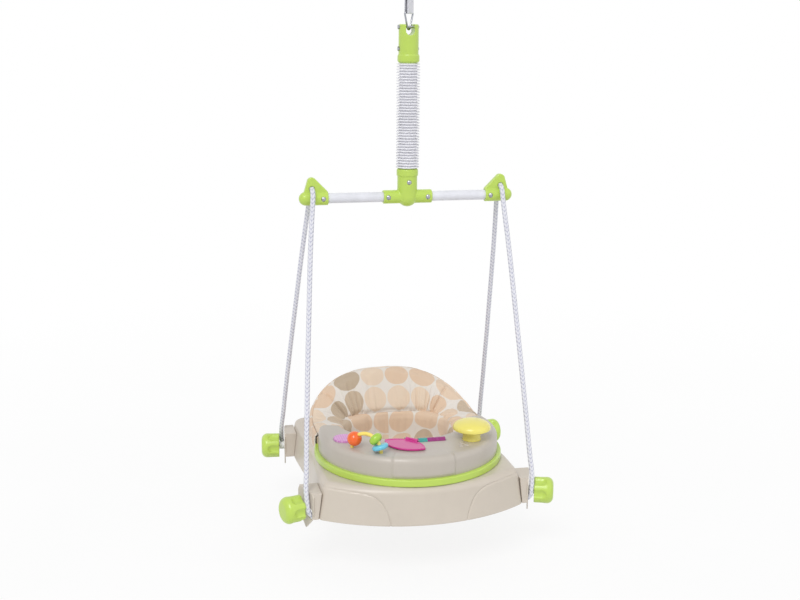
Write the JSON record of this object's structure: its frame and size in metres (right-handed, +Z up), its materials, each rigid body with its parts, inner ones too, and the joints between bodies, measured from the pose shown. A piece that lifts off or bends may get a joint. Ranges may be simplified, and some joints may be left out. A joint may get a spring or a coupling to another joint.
{
  "type": "baby jumper frame",
  "caption": "Hanging baby jumper: sprung ribbed column, crossbar and ropes carrying a moulded base with a padded seat and a round toy tray",
  "frame": {"origin": "centre of the hook hole in the eye plate at the top", "axes": "+Z up along the spring column, +X along the crossbar to the right, -Y to the front where the toy tray is"},
  "size_m": [0.6206, 0.569, 1.1644],
  "materials": {
    "lime_plastic": "satin moulded",
    "beige_plastic": "fine grained moulded",
    "tray_plastic": "fine grained moulded",
    "white_plastic": "satin moulded",
    "white_paint": "gloss powder coat",
    "screw_steel": "bright plated",
    "spring_steel": "drawn wire",
    "webbing": "woven webbing",
    "rope": "braided",
    "seat_fabric": "printed woven with large dots",
    "yellow_plastic": "gloss moulded",
    "arch_plastic": "gloss moulded",
    "orange_plastic": "gloss moulded",
    "green_plastic": "gloss moulded",
    "blue_plastic": "gloss moulded",
    "magenta_plastic": "gloss moulded",
    "purple_plastic": "gloss moulded",
    "lilac_plastic": "gloss moulded"
  },
  "bodies": {
    "hanger": {"eye_plate": "screw_steel", "hanging_strap": "webbing"},
    "link": {"strap_link": "screw_steel"},
    "cap": {"spring_cap": "lime_plastic", "cap_bolts": "screw_steel", "upper_spring_plug": "white_plastic", "spring": "spring_steel", "bellows": "white_plastic"},
    "spreader": {"lower_spring_plug": "white_plastic", "tee_joint": "lime_plastic", "tee_bolt": "screw_steel", "crossbar": "white_paint", "bar_screws": "screw_steel", "left_end_cap": "lime_plastic", "right_end_cap": "lime_plastic"},
    "cradle": {"left_rope": "rope", "right_rope": "rope", "base_shell": "beige_plastic", "front_left_bracket": "beige_plastic", "front_right_bracket": "beige_plastic", "rear_left_bracket": "beige_plastic", "rear_right_bracket": "beige_plastic", "bracket_screws": "screw_steel", "knob_bolts": "screw_steel", "knob_spacers": "white_plastic", "trim_ring": "lime_plastic", "tray": "tray_plastic", "tray_screws": "screw_steel", "seat_ring": "white_plastic", "seat_sling": "seat_fabric", "seat_back": "seat_fabric", "back_board": "white_plastic", "back_cover": "seat_fabric", "mushroom_axle": "screw_steel", "bead_arch": "arch_plastic", "leaf_pin": "screw_steel", "roller_axle": "screw_steel", "push_spring": "spring_steel"},
    "front_left_knob": {"front_left_knob": "lime_plastic"},
    "front_right_knob": {"front_right_knob": "lime_plastic"},
    "rear_left_knob": {"rear_left_knob": "lime_plastic"},
    "rear_right_knob": {"rear_right_knob": "lime_plastic"},
    "mushroom": {"mushroom_cap": "yellow_plastic", "mushroom_stem": "yellow_plastic"},
    "orange_bead": {"orange_bead": "orange_plastic"},
    "green_bead": {"green_bead": "green_plastic"},
    "blue_bead": {"blue_bead": "blue_plastic"},
    "leaf": {"leaf_flap": "magenta_plastic"},
    "roller": {"roller": "purple_plastic"},
    "push_disc": {"push_disc": "lilac_plastic"}
  },
  "joints": [
    {"name": "link_swing", "type": "hinge", "parent": "hanger", "child": "link", "pos_m": [0, 0, -0.0492], "axis": [-0.6428, -0.766, 0], "range_deg": [-30, 30]},
    {"name": "cap_swing", "type": "hinge", "parent": "link", "child": "cap", "pos_m": [0, 0, -0.0801], "axis": [1, 0, 0], "range_deg": [-25, 25]},
    {"name": "bounce", "type": "slide", "parent": "cap", "child": "spreader", "axis": [0, 0, -1], "range_m": [0, 0.15], "stiffness_N_per_m": 600, "springref_m": -0.12, "deforming": ["bellows", "spring"]},
    {"name": "base_sway", "type": "hinge", "parent": "spreader", "child": "cradle", "pos_m": [0, 0, -0.4421], "axis": [1, 0, 0], "range_deg": [-15, 15]},
    {"name": "front_left_knob_turn", "type": "hinge", "parent": "cradle", "child": "front_left_knob", "pos_m": [-0.28415, -0.16007, -1.0881], "axis": [0.9455, 0.3256, 0], "continuous": true},
    {"name": "front_right_knob_turn", "type": "hinge", "parent": "cradle", "child": "front_right_knob", "pos_m": [0.28415, -0.16007, -1.0881], "axis": [0.9455, -0.3256, 0], "continuous": true},
    {"name": "rear_left_knob_turn", "type": "hinge", "parent": "cradle", "child": "rear_left_knob", "pos_m": [-0.28125, 0.25014, -1.0881], "axis": [0.9925, -0.1219, 0], "continuous": true},
    {"name": "rear_right_knob_turn", "type": "hinge", "parent": "cradle", "child": "rear_right_knob", "pos_m": [0.28125, 0.25014, -1.0881], "axis": [0.9925, 0.1219, 0], "continuous": true},
    {"name": "mushroom_spin", "type": "hinge", "parent": "cradle", "child": "mushroom", "pos_m": [0.121, -0.133, -0.9556], "axis": [0, 0, 1], "continuous": true},
    {"name": "orange_bead_slide", "type": "hinge", "parent": "cradle", "child": "orange_bead", "pos_m": [-0.12, -0.157, -0.9646], "axis": [0.6606, 0.7507, 0], "range_deg": [0, 30]},
    {"name": "green_bead_slide", "type": "hinge", "parent": "cradle", "child": "green_bead", "pos_m": [-0.12, -0.157, -0.9646], "axis": [0.6606, 0.7507, 0], "range_deg": [-18, 0]},
    {"name": "blue_bead_slide", "type": "hinge", "parent": "cradle", "child": "blue_bead", "pos_m": [-0.12, -0.157, -0.9646], "axis": [0.6606, 0.7507, 0], "range_deg": [-18, 0]},
    {"name": "leaf_lift", "type": "hinge", "parent": "cradle", "child": "leaf", "pos_m": [-0.01316, -0.12842, -0.9596], "axis": [-0.7193, 0.6947, 0], "range_deg": [0, 100]},
    {"name": "roller_turn", "type": "hinge", "parent": "cradle", "child": "roller", "pos_m": [0.033, -0.121, -0.9691], "axis": [1, 0, 0], "continuous": true},
    {"name": "disc_press", "type": "slide", "parent": "cradle", "child": "push_disc", "axis": [0, 0, -1], "range_m": [0, 0.003], "stiffness_N_per_m": 400, "springref_m": -0.004, "deforming": ["push_spring"]}
  ],
  "couplings": [
    {"joint": "blue_bead_slide", "follows": "green_bead_slide", "ratio": 1}
  ]
}
